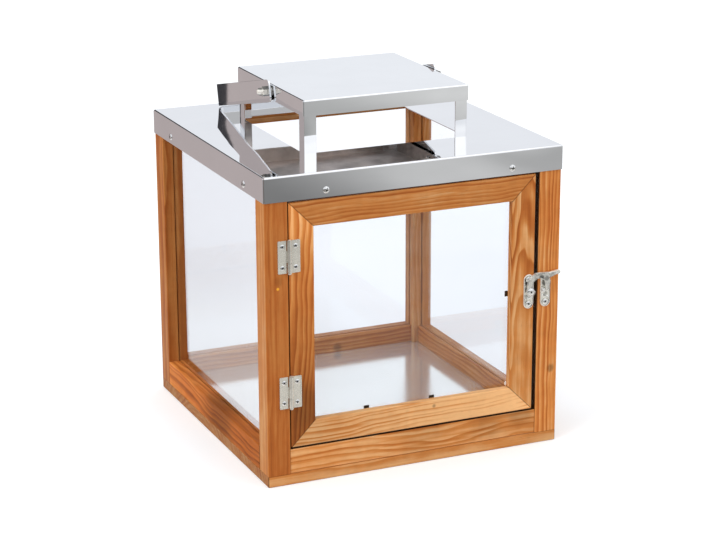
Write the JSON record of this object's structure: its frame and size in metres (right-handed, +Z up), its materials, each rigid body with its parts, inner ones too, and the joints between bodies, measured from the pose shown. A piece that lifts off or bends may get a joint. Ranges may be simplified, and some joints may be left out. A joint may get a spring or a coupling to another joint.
{
  "type": "candle lantern",
  "caption": "Square candle lantern with a stained wood frame, glass panes, a latched glazed door, a polished steel roof with a raised cap, and a folding strap handle.",
  "frame": {"origin": "centre of the flat underside", "axes": "+X to the right along the front, +Y from the door to the back, +Z up"},
  "size_m": [0.252, 0.2538, 0.2897],
  "materials": {
    "stained_wood": "warm brown stain with a satin oil finish",
    "dowel_wood": "plain beech",
    "clear_glass": "clear float glass",
    "polished_steel": "mirror-polished stainless sheet",
    "fastener_steel": "bright stainless",
    "zinc_screw": "bright zinc",
    "nickel_plate": "nickel plated, slightly warm",
    "black_steel": "blackened"
  },
  "bodies": {
    "frame_and_roof": {"base_board": "stained_wood", "post_front_left": "stained_wood", "post_front_right": "stained_wood", "post_back_left": "stained_wood", "post_back_right": "stained_wood", "bottom_rail_front": "stained_wood", "bottom_rail_back": "stained_wood", "bottom_rail_left": "stained_wood", "bottom_rail_right": "stained_wood", "top_rail_front": "stained_wood", "top_rail_back": "stained_wood", "top_rail_left": "stained_wood", "top_rail_right": "stained_wood", "frame_dowels": "dowel_wood", "base_screws": "zinc_screw", "pane_left": "clear_glass", "pane_right": "clear_glass", "pane_back": "clear_glass", "floor_plate": "polished_steel", "roof_tray": "polished_steel", "roof_screws": "fastener_steel", "cap_tray": "polished_steel", "cap_leg_front_left": "polished_steel", "cap_leg_front_right": "polished_steel", "cap_leg_back_left": "polished_steel", "cap_leg_back_right": "polished_steel", "handle_bolts": "fastener_steel", "handle_washers": "fastener_steel", "handle_acorn_nuts": "fastener_steel", "hinge_upper_post_leaf": "nickel_plate", "hinge_lower_post_leaf": "nickel_plate", "hinge_pins": "nickel_plate", "hinge_post_screws": "nickel_plate", "keeper_plate": "nickel_plate", "keeper_stud": "nickel_plate", "keeper_screws": "nickel_plate"},
    "door": {"door_stile_left": "stained_wood", "door_stile_right": "stained_wood", "door_rail_top": "stained_wood", "door_rail_bottom": "stained_wood", "door_pane": "clear_glass", "glazing_points": "black_steel", "hinge_upper_door_leaf": "nickel_plate", "hinge_lower_door_leaf": "nickel_plate", "hinge_door_screws": "nickel_plate", "latch_plate": "nickel_plate", "latch_plate_screws": "nickel_plate", "latch_pivot": "nickel_plate"},
    "latch_hook": {"latch_hook": "nickel_plate"},
    "handle": {"handle": "polished_steel"}
  },
  "joints": [
    {"name": "door_hinge", "type": "hinge", "parent": "frame_and_roof", "child": "door", "pos_m": [-0.1051, -0.12595, 0.12895], "axis": [0, 0, -1], "range_deg": [0, 180]},
    {"name": "latch_hook_pivot", "type": "hinge", "parent": "door", "child": "latch_hook", "pos_m": [0.098, -0.1261, 0.129], "axis": [0, -1, 0], "range_deg": [0, 95]},
    {"name": "handle_pivot", "type": "hinge", "parent": "frame_and_roof", "child": "handle", "pos_m": [0, 0, 0.2802], "axis": [1, 0, 0], "range_deg": [0, 205]}
  ]
}
